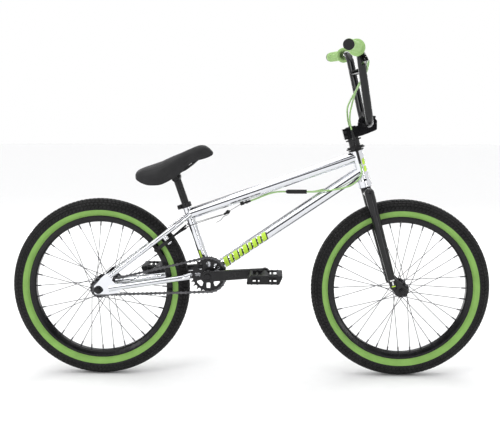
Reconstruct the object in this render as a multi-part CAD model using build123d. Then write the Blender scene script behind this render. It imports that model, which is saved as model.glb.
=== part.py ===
"""BMX bike with a gyro brake: every piece drawn in place.

Millimetres. +X is forward, +Z is up, the chain side (rider's right) is -Y.
The ground is Z = 0. The pieces are drawn with the rear axle over X = 0 and
exported with X = 0 midway between the axles.
"""
import os
from math import asin, atan2, cos, degrees, hypot, pi, radians, sin, sqrt, tan

from build123d import *

os.makedirs("parts", exist_ok=True)
PIECES = {}

# ---------------------------------------------------------------- sizes
TYRE_R = 262.0            # 20 inch wheel, loaded height of both axles
TYRE_SECTION = 30.0       # half the width of the tyre
RIM_R, RIM_INNER_R, RIM_HALF = 210.5, 193.5, 15.5
WHEELBASE = 880.5
SPOKES = 36
REAR_OLD, FRONT_OLD = 110.0, 100.0      # width between the dropouts
REAR_AXLE_R, FRONT_AXLE_R = 7.0, 4.76
GROOVE_DEEP, GROOVE_WIDE = 0.4, 0.5    # relief groove round each axle, just outside its nuts

PITCH = 12.7              # chain
SPROCKET_TEETH, DRIVER_TEETH = 25, 9
CHAIN_Y = -43.0
RUN_LINKS = 25            # pitches in each straight run
BB_Z = 305.0
CRANK_LENGTH, CRANK_ANGLE = 165.0, 4.0

HEAD_LEAN = 15.0          # steering axis back from upright
HEAD_X, HEAD_Z = 754.0, 637.9           # a point on the steering axis
SEAT_LEAN = 18.8          # seat tube back from upright
TOP_TUBE_R, DOWN_TUBE_R, SEAT_TUBE_R, HEAD_TUBE_R = 16.5, 17.45, 12.7, 18.0
CHAINSTAY_R, SEATSTAY_R = 9.0, 8.0
POST_R = 11.1
BAR_R, CROSSBAR_R = 11.1, 7.95
BAR_CLAMP = (775.0, 745.0)
CABLE_R = 2.5

# ---------------------------------------------------------------- helpers
MIN = (Align.CENTER, Align.CENTER, Align.MIN)


def v(p):
    return p if isinstance(p, Vector) else Vector(*p)


def rod(a, b, r, bore=0.0, r2=None):
    """Round bar, tube or cone from a to b."""
    a, b = v(a), v(b)
    length = (b - a).length
    body = Cylinder(r, length, align=MIN) if r2 is None else Cone(r, r2, length, align=MIN)
    if bore:
        body -= Cylinder(bore, length, align=MIN)
    return Plane(origin=a, z_dir=(b - a).normalized()) * body


def cross(x, z, y0, y1, r, bore=0.0):
    """Round bar or tube lying across the bike."""
    return rod((x, y0, z), (x, y1, z), r, bore)


def bend_line(points, radii):
    """Straight runs joined by tangent arcs, one radius for each inner corner."""
    pts = [v(p) for p in points]
    edges, start = [], pts[0]
    for i in range(1, len(pts) - 1):
        u = (pts[i - 1] - pts[i]).normalized()
        w = (pts[i + 1] - pts[i]).normalized()
        half = u.get_angle(w) / 2
        back = radii[i - 1] / tan(radians(half))
        a, b = pts[i] + u * back, pts[i] + w * back
        mid_dir = (u + w).normalized()
        centre = pts[i] + mid_dir * (radii[i - 1] / sin(radians(half)))
        if (a - start).length > 1e-3:
            edges.append(Edge.make_line(start, a))
        edges.append(Edge.make_three_point_arc(a, centre - mid_dir * radii[i - 1], b))
        start = b
    edges.append(Edge.make_line(start, pts[-1]))
    return Wire(edges)


def easy_radii(points, most=400.0):
    """Largest tangent arcs that leave a little straight between corners."""
    pts = [v(p) for p in points]
    radii = []
    for i in range(1, len(pts) - 1):
        a, b = pts[i - 1] - pts[i], pts[i + 1] - pts[i]
        turn = 180 - a.get_angle(b)
        radii.append(min(most, 0.45 * min(a.length, b.length) / tan(radians(turn / 2))))
    return radii


def pipe(points, radii, r, bore=0.0):
    line = bend_line(points, radii)
    start = Plane(origin=line @ 0, z_dir=line % 0)
    body = sweep(start * Circle(r), path=line)
    if bore:
        body -= sweep(start * Circle(bore), path=line)
    return body


def slab(points, y0, y1):
    """Flat plate, its outline given in X and Z, from y0 to y1."""
    face = Face(Wire.make_polygon([Vector(x, y0, z) for x, z in points], close=True))
    return extrude(face, amount=y1 - y0, dir=(0, 1, 0))


def turned(profile, x=0.0, z=TYRE_R):
    """Ring turned about an axle across the bike; profile is (y, radius)."""
    face = Face(Wire.make_polygon([Vector(x, y, z + r) for y, r in profile], close=True))
    return revolve(face, axis=Axis((x, 0, z), (0, 1, 0)))


def hexagon(origin, direction, flats, length):
    nut = extrude(RegularPolygon(flats / sqrt(3), 6), length)
    return Plane(origin=v(origin), z_dir=v(direction).normalized()) * nut


def pair(shape):
    """The piece and its mirror image on the other side of the bike."""
    return Compound(children=[*shape.solids(), *mirror(shape, about=Plane.XZ).solids()])


def group(*shapes):
    return Compound(children=[s for shape in shapes for s in shape.solids()])


def piece(name, shape):
    PIECES[name] = shape


# ---------------------------------------------------------------- layout
LEAN = radians(HEAD_LEAN)
STEER = Plane(origin=(HEAD_X, 0, HEAD_Z), x_dir=(cos(LEAN), 0, sin(LEAN)),
              z_dir=(-sin(LEAN), 0, cos(LEAN)))


def steer(s, t=0.0, y=0.0):
    """Point s up the steering axis and t ahead of it."""
    return STEER.from_local_coords(Vector(t, y, s))


SPROCKET_R = PITCH / (2 * sin(pi / SPROCKET_TEETH))
DRIVER_R = PITCH / (2 * sin(pi / DRIVER_TEETH))
# the chain leaves the sprocket 7 pitches from its front, the driver 2 pitches from its back
leave_s, leave_d = 7 * 2 * pi / SPROCKET_TEETH, pi - 2 * 2 * pi / DRIVER_TEETH
rise = SPROCKET_R * sin(leave_s) - DRIVER_R * sin(leave_d)
CENTRES = sqrt((RUN_LINKS * PITCH) ** 2 - rise ** 2) - SPROCKET_R * cos(leave_s) \
    + DRIVER_R * cos(leave_d)
BB_X = sqrt(CENTRES ** 2 - (BB_Z - TYRE_R) ** 2)
BB = Vector(BB_X, 0, BB_Z)
line_angle = atan2(BB_Z - TYRE_R, BB_X)
DRIVE = Plane(origin=(0, CHAIN_Y, TYRE_R), x_dir=(cos(line_angle), 0, sin(line_angle)),
              z_dir=(-sin(line_angle), 0, cos(line_angle)))

seat_lean = radians(SEAT_LEAN)
SEAT = Plane(origin=BB, x_dir=(cos(seat_lean), 0, sin(seat_lean)),
             z_dir=(-sin(seat_lean), 0, cos(seat_lean)))


def seat(u, t=0.0, y=0.0):
    """Point u up the seat tube from the bottom bracket and t ahead of it."""
    return SEAT.from_local_coords(Vector(t, y, u))


crank_angle = radians(CRANK_ANGLE)
CRANK = Plane(origin=BB, x_dir=(cos(crank_angle), 0, sin(crank_angle)),
              z_dir=(-sin(crank_angle), 0, cos(crank_angle)))

STAY_SLOPE = atan2(0.762, 1.0)          # seat stays seen from the side


def stay_z(x):
    return 435.7 + (x - 208.4) * tan(STAY_SLOPE)


BOSS_X, BOSS_Y = 188.5, 40.0
BRAKE = Plane(origin=(BOSS_X, 0, stay_z(BOSS_X)), x_dir=(cos(STAY_SLOPE), 0, sin(STAY_SLOPE)),
              z_dir=(-sin(STAY_SLOPE), 0, cos(STAY_SLOPE)))


def brake(k, n, y=0.0):
    """Point k up the seat stay from the brake boss and n below the stay."""
    return BRAKE.from_local_coords(Vector(k, y, -n))


def chainstay_z(x):
    return 265.4 + (x - 28) * (BB_Z - 265.4) / (BB_X - 28)


AXLE_F = Vector(WHEELBASE, 0, TYRE_R)
AXLE_S, AXLE_T = (AXLE_F - steer(0)).dot(STEER.z_dir), (AXLE_F - steer(0)).dot(STEER.x_dir)

# ---------------------------------------------------------------- frame
HT_LOW, HT_TOP = -70.0, 28.0
head_solid = STEER * Pos(0, 0, HT_LOW) * Cylinder(HEAD_TUBE_R, HT_TOP - HT_LOW, align=MIN)
collar = STEER * Pos(0, 0, HT_LOW) * Cylinder(20.0, 8, align=MIN)
flare = STEER * Pos(0, 0, HT_LOW + 8) * Cone(20.0, HEAD_TUBE_R, 5, align=MIN)
head_bore = STEER * Pos(0, 0, HT_LOW) * Cylinder(15.3, HT_TOP - HT_LOW, align=MIN)
piece("head_tube", head_solid + collar + flare - head_bore)

bb_solid = cross(BB_X, BB_Z, -34, 34, 23.0)
piece("bb_shell", bb_solid - cross(BB_X, BB_Z, -34, 34, 20.6))

top_join = steer(11.0)
top_low = Vector(352.6, 0, 509.1)
top_dir = (top_join - top_low).normalized()
seat_cut = rod(seat(0), seat(240), SEAT_TUBE_R)
top_start = top_low - top_dir * ((top_low - seat(181.7)).length - 4)
top_solid = rod(top_start, top_join, TOP_TUBE_R) - head_solid - seat_cut
top_inner = rod(top_start, top_join, TOP_TUBE_R - 1.6)
piece("top_tube", top_solid - top_inner)

down_join = steer(-33.9)
down_solid = rod(BB, down_join, DOWN_TUBE_R) - head_solid - collar - flare - bb_solid
piece("down_tube", down_solid - rod(BB, down_join, DOWN_TUBE_R - 1.6))

SEAT_TOP = 213.0
seat_solid = rod(seat(0), seat(SEAT_TOP), SEAT_TUBE_R) - bb_solid - rod(BB, down_join, DOWN_TUBE_R)
piece("seat_tube", seat_solid - rod(seat(0), seat(SEAT_TOP), POST_R + 0.05))

DROP_IN, DROP_OUT = REAR_OLD / 2, REAR_OLD / 2 + 6
drop_outline = [(-9, 248.5), (-13, 254.7), (7, 254.7), (7, 269.3), (-13.5, 269.3), (-12, 274),
                (-2, 284), (8, 296), (20, 307), (34, 313), (45, 304), (40, 290), (50, 281),
                (66, 279), (68, 263), (56, 252.5), (30, 249)]
drop_slot = cross(7, TYRE_R, DROP_IN, DROP_OUT, 7.3)
drop_right = mirror(slab(drop_outline, DROP_IN, DROP_OUT) - drop_slot, about=Plane.XZ)
piece("rear_dropouts", pair(drop_right))


def chainstay():
    line = [(BB_X - 8, -24, chainstay_z(BB_X - 8)), (266, -27.5, chainstay_z(266)),
            (238, -39.5, chainstay_z(238)), (30, -57.8, chainstay_z(30))]
    stay = pipe(line, [50, 50], CHAINSTAY_R, CHAINSTAY_R - 1.3)
    return stay - cross(BB_X, BB_Z, -38, 38, 23.0) - drop_right


def seatstay():
    line = [(264, -14.5, stay_z(264)), (222, -33, stay_z(222)), (205, -38.2, stay_z(205)),
            (33, -58, stay_z(33))]
    stay = pipe(line, [60, 60], SEATSTAY_R, SEATSTAY_R - 1.2)
    return stay - seat_cut - rod(top_start, top_join, TOP_TUBE_R) - drop_right


stay_right = seatstay()
piece("chainstays", pair(chainstay()))
piece("seatstays", pair(stay_right))

# bosses for the brake arms, with the bridge between the stays
boss = rod(brake(0, 3, -BOSS_Y), brake(0, 16.7, -BOSS_Y), 8.0) - stay_right
boss = boss - pipe([(222, -33, stay_z(222)), (205, -38.2, stay_z(205)), (33, -58, stay_z(33))],
                   [60], SEATSTAY_R)
pivot = rod(brake(0, 16.7, -BOSS_Y), brake(0, 28.0, -BOSS_Y), 4.0) \
    + rod(brake(0, 27.8, -BOSS_Y), brake(0, 31.5, -BOSS_Y), 6.5)
bridge = cross(231, stay_z(231), -29, 29, 6.0)
bridge = bridge - pipe([(264, -14.5, stay_z(264)), (222, -33, stay_z(222)), (205, -38.2, stay_z(205))],
                       [60], SEATSTAY_R)
bridge = bridge - mirror(pipe([(264, -14.5, stay_z(264)), (222, -33, stay_z(222)),
                               (205, -38.2, stay_z(205))], [60], SEATSTAY_R), about=Plane.XZ)
bridge_mid = sorted(bridge.solids(), key=lambda s: abs(s.center().Y))[0]
piece("brake_bosses", group(pair(boss + pivot), bridge_mid))

# seat clamp at the top of the seat tube, its lug and bolt at the back
clamp = rod(seat(204), seat(217), 15.8) - rod(seat(204), seat(213), SEAT_TUBE_R) \
    - rod(seat(213), seat(217), POST_R + 0.4)
lug = SEAT * Pos(-19, 0, 210.5) * Box(12, 15, 12)
lug = lug - rod(seat(204), seat(217), 15.7)
slit = SEAT * Pos(-20, 0, 210.5) * Box(16, 2.0, 13.2)
bolt = rod(seat(210.5, -20.5, -11), seat(210.5, -20.5, 11), 2.8) \
    + rod(seat(210.5, -20.5, -11.5), seat(210.5, -20.5, -7.5), 4.8) \
    + rod(seat(210.5, -20.5, 7.5), seat(210.5, -20.5, 11), 4.6)
bolt_hole = rod(seat(210.5, -20.5, -12), seat(210.5, -20.5, 12), 2.8)
piece("seat_clamp", group(clamp + lug - slit - bolt_hole, bolt))

# bearings that stay in the frame
lower_cup = rod(steer(-80.2), steer(-70), 20.0, 14.36)
lower_seat = rod(steer(-69.9), steer(-58), 15.3, 14.36)
upper_ring = rod(steer(18), steer(28), 15.3, 14.36)
piece("headset_bearings", group(lower_cup + lower_seat, upper_ring))
cup = cross(BB_X, BB_Z, -34, -24, 20.6, 9.6) + cross(BB_X, BB_Z, -37, -34, 22.0, 9.6)
piece("bb_bearings", pair(cup))

# rear axle with its spacers and nuts
axle = cross(0, TYRE_R, -77, 77, REAR_AXLE_R) \
    - pair(cross(0, TYRE_R, -70.3 - GROOVE_WIDE, -70.3, 12, REAR_AXLE_R - GROOVE_DEEP))
spacer = cross(0, TYRE_R, -DROP_IN, -DROP_IN + 5, 10.0, REAR_AXLE_R)
axle_rear = axle + spacer + mirror(spacer, about=Plane.XZ)
nut = hexagon((0, -DROP_OUT - 1.8, TYRE_R), (0, -1, 0), 19, 7.5) \
    + cross(0, TYRE_R, -DROP_OUT - 1.8, -DROP_OUT, 12.0)
piece("rear_axle", group(axle_rear, pair(nut - cross(0, TYRE_R, -80, 0, REAR_AXLE_R))))

# ---------------------------------------------------------------- chain drive


def toothed(teeth, pitch_r, plane, phase, half):
    """Toothed disc whose gaps hold the rollers at pitch_r."""
    disc = plane * (Rot(90, 0, 0) * Cylinder(pitch_r + 3.3, 2 * half))
    gaps = []
    for i in range(teeth):
        a = phase + 2 * pi * i / teeth
        spot = plane * Pos(pitch_r * cos(a), 0, pitch_r * sin(a))
        gaps.append(spot * (Rot(90, 0, 0) * Cylinder(4.2, 2 * half + 2)))
        mouth = plane * Pos((pitch_r + 3.2) * cos(a), 0, (pitch_r + 3.2) * sin(a))
        gaps.append(mouth * (Rot(90, 0, 0) * Cylinder(5.5, 2 * half + 2)))
    return disc - gaps


SPROCKET = Plane(origin=(BB_X, CHAIN_Y, BB_Z), x_dir=DRIVE.x_dir, z_dir=DRIVE.z_dir)
sprocket = toothed(SPROCKET_TEETH, SPROCKET_R, SPROCKET, 0.0, 1.3)
windows = []
for i in range(8):
    turn = Rot(0, 45 * i - degrees(line_angle), 0)
    if i % 2:
        face = [(26, -5), (26, 5), (36, 10.5), (39.5, 7), (39.5, -7), (36, -10.5)]
    else:
        face = [(23, -4), (25, -5.5), (37, -5.5), (39, -4), (39, 4), (37, 5.5), (25, 5.5), (23, 4)]
    windows.append(Pos(BB_X, CHAIN_Y, BB_Z) * Rot(0, 45 * i, 0) * slab(face, -3, 3))
sprocket = sprocket - windows - cross(BB_X, BB_Z, CHAIN_Y - 3, CHAIN_Y + 3, 9.5)
sprocket = sprocket + cross(BB_X, BB_Z, -57.9, CHAIN_Y - 1.3, 14.0, 9.5) \
    + cross(BB_X, BB_Z, CHAIN_Y + 1.3, -39.6, 13.0, 9.5)
piece("sprocket", sprocket)

driver = toothed(DRIVER_TEETH, DRIVER_R, DRIVE, pi, 1.3)
driver = driver + cross(0, TYRE_R, -49.6, -35.9, 13.6)
piece("driver_cog", driver - cross(0, TYRE_R, -50, -35, REAR_AXLE_R + 0.06))


def chain_points():
    """Roller centres in the plane of the chain, in order round the loop."""
    pts = []
    for i in range(-7, 8):
        a = -2 * pi * i / SPROCKET_TEETH
        pts.append((CENTRES + SPROCKET_R * cos(a), SPROCKET_R * sin(a)))
    pts = pts[::-1]                      # bottom, round the front, to the top
    back = [(DRIVER_R * cos(pi + a * 2 * pi / DRIVER_TEETH),
             DRIVER_R * sin(pi + a * 2 * pi / DRIVER_TEETH)) for a in range(-2, 3)]

    def run(p, q):
        return [(p[0] + (q[0] - p[0]) * i / RUN_LINKS, p[1] + (q[1] - p[1]) * i / RUN_LINKS)
                for i in range(1, RUN_LINKS)]

    if pts[0][1] > 0:
        pts = pts[::-1]
    if back[0][1] < 0:
        back = back[::-1]
    return pts + run(pts[-1], back[0]) + back + run(back[-1], pts[0])


def oval(y0, y1, r):
    """Link plate one pitch long."""
    body = Pos(PITCH / 2, (y0 + y1) / 2, 0) * Box(PITCH, abs(y1 - y0), 2 * r * 0.6)
    for x in (0, PITCH):
        body += Pos(x, (y0 + y1) / 2, 0) * (Rot(90, 0, 0) * Cylinder(r, abs(y1 - y0)))
    return body


def across(x, y0, y1, r):
    return Pos(x, (y0 + y1) / 2, 0) * (Rot(90, 0, 0) * Cylinder(r, abs(y1 - y0)))


inner_link = oval(-2.6, -1.75, 4.1) + oval(1.75, 2.6, 4.1) \
    + across(0, -1.8, 1.8, 3.85) + across(PITCH, -1.8, 1.8, 3.85) \
    - across(0, -3, 3, 1.95) - across(PITCH, -3, 3, 1.95)
outer_link = oval(-3.6, -2.7, 4.1) + oval(2.7, 3.6, 4.1) \
    + across(0, -4.3, 4.3, 1.8) + across(PITCH, -4.3, 4.3, 1.8)
chain_line = chain_points()
links = []
for i, (x, z) in enumerate(chain_line):
    nx, nz = chain_line[(i + 1) % len(chain_line)]
    spot = Plane(origin=DRIVE.from_local_coords(Vector(x, 0, z)),
                 x_dir=(DRIVE.from_local_coords(Vector(nx, 0, nz))
                        - DRIVE.from_local_coords(Vector(x, 0, z))).normalized(),
                 z_dir=Vector(0, -1, 0).cross(
                     (DRIVE.from_local_coords(Vector(nx, 0, nz))
                      - DRIVE.from_local_coords(Vector(x, 0, z))).normalized()))
    links.append(spot.location * (inner_link if i % 2 else outer_link))
piece("chain", group(*links))
print("chain links", len(links), "bottom bracket at", round(BB_X, 2), BB_Z)

# ---------------------------------------------------------------- cranks and pedals
piece("crank_spindle", cross(BB_X, BB_Z, -72, 72, 9.5)
      + cross(BB_X, BB_Z, -79, -72, 8.0) + cross(BB_X, BB_Z, 72, 79, 8.0))


def crank_arm(side):
    """side -1 is the right arm, +1 the left arm."""
    y0, y1 = (-76, -58) if side < 0 else (58, 76)
    reach = -side * CRANK_LENGTH
    arm = slab([(0, -15.5), (0, 15.5), (reach, 13.2), (reach, -13.2)], y0, y1)
    arm = fillet(arm.edges().filter_by(Axis.X, tolerance=3), 4)
    arm += rod((0, y0, 0), (0, y1, 0), 17.0) + rod((reach, y0, 0), (reach, y1, 0), 14.0)
    arm -= rod((0, y0 - 1, 0), (0, y1 + 1, 0), 9.5)
    arm -= rod((reach, y0 - 1, 0), (reach, y1 + 1, 0), 7.0)
    return CRANK * arm


piece("crank_arms", group(crank_arm(-1), crank_arm(+1)))


def crank_spot(side):
    x = -side * CRANK_LENGTH
    return CRANK.from_local_coords(Vector(x, 0, 0))


pins = []
for side in (-1, 1):
    p = crank_spot(side)
    pins.append(cross(p.X, p.Z, side * 58.5, side * 178, 7.0)
                + cross(p.X, p.Z, side * 76.1, side * 83, 9.5))
piece("pedal_spindles", group(*pins))


def pedal(side):
    """Plastic platform pedal round its spindle, the same both ways up."""
    p = crank_spot(side)
    lean = -side
    outline = [(-51.5 * lean, -12), (41 * lean, -12), (51.5 * lean, 12), (-41 * lean, 12)]
    outline = [(p.X + a, p.Z + b) for a, b in outline]
    near, far = 183.0, 88.0
    block = slab(outline, *sorted((side * near, side * far)))
    block = fillet(block.edges().filter_by(Axis.Y), 3.5)
    keep = []
    # end plates, front and back bars, barrel and cross ribs
    for y0, y1 in ((near - 9, near), (far, far + 8)):
        keep.append(Pos(p.X, side * (y0 + y1) / 2, p.Z) * Box(110, y1 - y0, 26))
    for x in (-43, 43):
        keep.append(Pos(p.X + x, side * 135.5, p.Z) * Box(18, 95, 26))
    for x in (-22, 22):
        keep.append(Pos(p.X + x, side * 135.5, p.Z) * Box(5, 95, 16))
    keep.append(Pos(p.X, side * 135.5, p.Z) * Box(90, 6, 16))
    body = block & keep[0]
    for k in keep[1:]:
        body += block & k
    body += cross(p.X, p.Z, side * far, side * (near + 1.5), 11.4)
    # windows through the outer end plate
    for sx in (-1, 1):
        for y0, y1 in ((near - 10, near + 1), (far - 1, far + 9)):
            body -= Pos(p.X + sx * 23.5, side * (y0 + y1) / 2, p.Z + 1) * Box(19, y1 - y0, 12)
    for x in (-36, -20, 20, 36):
        for y in (far + 5, near - 5):
            body += rod((p.X + x, side * y, p.Z - 13.6), (p.X + x, side * y, p.Z + 13.6), 1.9)
    return body - cross(p.X, p.Z, side * (far - 1), side * 180, 7.1) \
        - cross(p.X, p.Z, side * (far - 5), side * (far), 9.8)


piece("pedal_right", pedal(-1))
piece("pedal_left", pedal(+1))

# ---------------------------------------------------------------- wheels


def tyre(x):
    c, rr = TYRE_R - TYRE_SECTION, TYRE_SECTION
    side = asin((RIM_R + 0.4 - c) / rr)
    outer = [(rr * cos(a), c + rr * sin(a))
             for a in [side + (pi - 2 * side) * i / 28 for i in range(29)]]
    base = [(-12.6, RIM_R + 0.4), (-12.2, 205.2), (12.2, 205.2), (12.6, RIM_R + 0.4)]
    ring = turned(outer + base, x)
    inner = [((rr - 4) * cos(2 * pi * i / 24), c + 1 + (rr - 4) * sin(2 * pi * i / 24))
             for i in range(24)]
    return ring - turned(inner, x)


def rim(x):
    return turned([(15.5, RIM_R), (15.5, 206), (13.5, 197.5), (9, RIM_INNER_R), (-9, RIM_INNER_R),
                   (-13.5, 197.5), (-15.5, 206), (-15.5, RIM_R), (-13.4, RIM_R), (-12.9, 204.2),
                   (-8, 200.5), (8, 200.5), (12.9, 204.2), (13.4, RIM_R)], x)


def lace(x, hole_r, right_y, left_y, thick=3.0):
    """Spokes as solids: rim holes evenly round, heads alternate in and out."""
    solids = []
    per_side = SPOKES // 2
    gap = 2 * pi / SPOKES
    for out, flange, first in ((-1, right_y, 0), (1, left_y, 1)):
        for i in range(per_side):
            lead = 1 if i % 2 else -1
            rim_a = (2 * i + first) * gap
            hub_a = rim_a - lead * (3 * 2 * pi / per_side) * 0.92
            y = flange + out * lead * (thick / 2 + (2.4 if lead > 0 else 1.1))
            p = Vector(x + hole_r * cos(hub_a), y, TYRE_R + hole_r * sin(hub_a))
            q = Vector(x + (RIM_INNER_R - 0.6) * cos(rim_a), out * 3.0,
                       TYRE_R + (RIM_INNER_R - 0.6) * sin(rim_a))
            d = (q - p).normalized()
            wire = rod(p, q, 1.0)
            nip = rod(q - d * 13, q, 2.1)
            head = cross(p.X, p.Z, y - 0.9, y + 0.9, 2.2)
            solids.append(wire + nip + head)
    return group(*solids)


def hub(x, bore, ends, flanges, flange_r, shell_r):
    """ends = (right y, left y), flanges = (right y, left y)."""
    (e0, e1), (f0, f1) = ends, flanges
    body = cross(x, TYRE_R, e0, e1, 12.5) + cross(x, TYRE_R, f0, f1, shell_r)
    for f in (f0, f1):
        body += cross(x, TYRE_R, f - 1.5, f + 1.5, flange_r)
    body -= cross(x, TYRE_R, e0 + 9, e1 - 9, 10.0)
    return body - cross(x, TYRE_R, e0 - 1, e1 + 1, bore)


piece("front_tyre", tyre(WHEELBASE))
piece("front_rim", rim(WHEELBASE))
piece("front_spokes", lace(WHEELBASE, 19.0, -33, 33))
piece("front_hub", hub(WHEELBASE, FRONT_AXLE_R + 0.06, (-47.2, 47.2), (-33, 33), 22.5, 15.0))
piece("rear_tyre", tyre(0))
piece("rear_rim", rim(0))
piece("rear_spokes", lace(0, 25.5, -32.5, 35))
piece("rear_hub", hub(0, REAR_AXLE_R + 0.06, (-35.5, 49.6), (-32.5, 35), 29.0, 19.0))

# ---------------------------------------------------------------- fork
leg_top, leg_foot = steer(-96.5, 3.0, -52), steer(-377, 4.0, -54.5)
drop_f = [(-5, -350), (13, -350), (30, -377), (41, -391), (41, -404), (34, -413), (29.9, -413),
          (29.9, AXLE_S), (19.9, AXLE_S), (19.9, -412), (11, -408), (2, -392), (-7, -372)]
drop_front = STEER * slab(drop_f, -FRONT_OLD / 2 - 6, -FRONT_OLD / 2)
drop_front = drop_front - cross(WHEELBASE, TYRE_R, -FRONT_OLD / 2 - 6, -FRONT_OLD / 2, 5.0)
leg = rod(leg_top, leg_foot, 14.3, r2=10.6) + Pos(leg_top) * Sphere(14.3) \
    + Pos(leg_foot) * Sphere(10.6)
leg_hollow = rod(leg_top, leg_foot, 12.6, r2=9.2)
piece("fork_legs", pair(leg - leg_hollow - drop_front))
piece("fork_dropouts", pair(drop_front))

crown = rod(steer(-96.5, 3.0, -52), steer(-96.5, 3.0, 52), 14.3) - leg - mirror(leg, about=Plane.XZ)
neck = rod(steer(-96), steer(-82), 15.0)
race = rod(steer(-82), steer(-80.6), 17.5)
tube = rod(steer(-96), steer(94), 14.3)
steerer = crown + neck + race + tube
piece("steerer", steerer - rod(steer(-90), steer(95), 12.2))

axle = cross(WHEELBASE, TYRE_R, -70, 70, FRONT_AXLE_R) \
    - pair(cross(WHEELBASE, TYRE_R, -65.3 - GROOVE_WIDE, -65.3, 12, FRONT_AXLE_R - GROOVE_DEEP))
cone = cross(WHEELBASE, TYRE_R, -FRONT_OLD / 2, -47.5, 9.0)
axle_front = axle + cone + mirror(cone, about=Plane.XZ)
nut = hexagon((WHEELBASE, -57.8, TYRE_R), (0, -1, 0), 15, 7.5) \
    + cross(WHEELBASE, TYRE_R, -57.8, -56, 9.5)
piece("front_axle", group(axle_front, pair(nut - cross(WHEELBASE, TYRE_R, -80, 0, FRONT_AXLE_R))))

# ---------------------------------------------------------------- stem and headset top
bx, bz = BAR_CLAMP
rear_part = [(704.9, 724.5), (752, 737), (752, 745), (780, 745), (780, 716), (757.9, 708.3), (712.5, 696.2)]
front_part = [(752, 745), (803, 745), (803, 728), (799, 724.5), (760, 709), (752, 714)]
stem = slab(rear_part, -19, 19) + slab(front_part, -25, 25)
stem = stem - rod(steer(60), steer(110), 14.3) - cross(bx, bz, -30, 30, BAR_R)
stem = stem - (STEER * Pos(-20, 0, 81.6) * Box(14, 2.2, 32))
cap_outline = [(753, 745.6), (753, 752), (757, 758.5), (766, 762), (784, 762.5), (797, 759.5),
               (803, 752), (803, 745.6)]
stem_cap = slab(cap_outline, -25, 25) - cross(bx, bz, -30, 30, BAR_R)
bolts, holes = [], []
for x in (759.5, 795.5):
    for y in (-16, 16):
        holes.append(rod((x, y, 722), (x, y, 768), 3.0))
        bolts.append(rod((x, y, 725), (x, y, 762), 3.0) + rod((x, y, 760.5), (x, y, 765.5), 4.6))
for s in (74.5, 88.5):
    holes.append(rod(steer(s, -19.5, -21), steer(s, -19.5, 21), 2.8))
    bolts.append(rod(steer(s, -19.5, -21), steer(s, -19.5, 21), 2.8)
                 + rod(steer(s, -19.5, -23.5), steer(s, -19.5, -19), 4.4)
                 + rod(steer(s, -19.5, 19), steer(s, -19.5, 22), 4.4))
for x in (759.5, 795.5):
    for y in (-16, 16):
        stem_cap = stem_cap - rod((x, y, 760.5), (x, y, 768), 4.6)
piece("stem", stem - holes)
piece("stem_cap", stem_cap - holes)
piece("stem_bolts", group(*bolts))
spacers = rod(steer(28.3), steer(58.8), 16.0, 14.3)
spacer_2 = rod(steer(62.2), steer(66.7), 16.0, 14.3)
top_cap = rod(steer(96.9), steer(99.2), 15.5) + rod(steer(99.2), steer(101.2), 4.5)
piece("headset_spacers", group(spacers, spacer_2, top_cap))

# ---------------------------------------------------------------- handlebar
TOP_Y, END_Y = 178.0, 377.0
low_y = 105.0
corner_x, grip_z = 736.0, 948.0
SWEEP = (corner_x - 692.0) / (END_Y - TOP_Y)
line = [(692, -END_Y, grip_z), (corner_x, -TOP_Y, grip_z), (bx, -low_y, bz),
        (bx, low_y, bz), (corner_x, TOP_Y, grip_z), (692, END_Y, grip_z)]
bar_solid = pipe(line, [44, 48, 48, 44], BAR_R)
bar_hollow = pipe(line, [44, 48, 48, 44], BAR_R - 1.7)
piece("handlebar", bar_solid - bar_hollow)
f = (891.0 - bz) / (grip_z - bz)
cb_x, cb_y = bx + (corner_x - bx) * f, low_y + (TOP_Y - low_y) * f
crossbar = rod((cb_x, -cb_y, 891), (cb_x, cb_y, 891), CROSSBAR_R) - bar_solid
crossbar = sorted(crossbar.solids(), key=lambda s: -s.volume)[0]
piece("crossbar", crossbar - rod((cb_x, -cb_y, 891), (cb_x, cb_y, 891), CROSSBAR_R - 1.5))


def on_bar(y, off=0.0):
    """Point on the centre of the right grip end of the bar."""
    return Vector(corner_x - (y - TOP_Y) * SWEEP, -y, grip_z)


out_dir = (on_bar(300) - on_bar(200)).normalized()
grip = rod(on_bar(228), on_bar(373), 15.4) + rod(on_bar(228), on_bar(232.5), 23.0)
grip = fillet(grip.edges().filter_by(GeomType.CIRCLE).sort_by(SortBy.RADIUS)[-2:], 1.6)
grip = grip - rod(on_bar(226), on_bar(376), BAR_R)
piece("grips", pair(grip))
end_face = on_bar(END_Y)
plug = rod(end_face + out_dir * 0.2, end_face + out_dir * 4.5, 14.2) \
    + rod(end_face - out_dir * 14, end_face + out_dir * 0.4, BAR_R - 1.8)
piece("bar_end_plugs", pair(plug))

# brake lever on the right-hand grip
SQUEEZE_DIR = radians(31)
fwd = Vector(-out_dir.Y, out_dir.X, 0)
if fwd.X < 0:
    fwd = fwd * -1
down = Vector(0, 0, -1) * cos(SQUEEZE_DIR) + fwd * sin(SQUEEZE_DIR)
LEVER_HOLD = on_bar(211)
LEVER_PIVOT = LEVER_HOLD + down * 34
LEVER = Plane(origin=LEVER_PIVOT, x_dir=out_dir, z_dir=out_dir.cross(down))


def lever_point(u, w, h=0.0):
    """Point u outboard, w away from the bar and h up the pivot pin."""
    return LEVER.from_local_coords(Vector(u, w, h))


def flat(points, h0, h1):
    """Plate in the plane the lever swings in."""
    face = Face(Wire.make_polygon([Vector(a, b, h0) for a, b in points], close=True))
    return LEVER * extrude(face, amount=h1 - h0, dir=(0, 0, 1))


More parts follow.
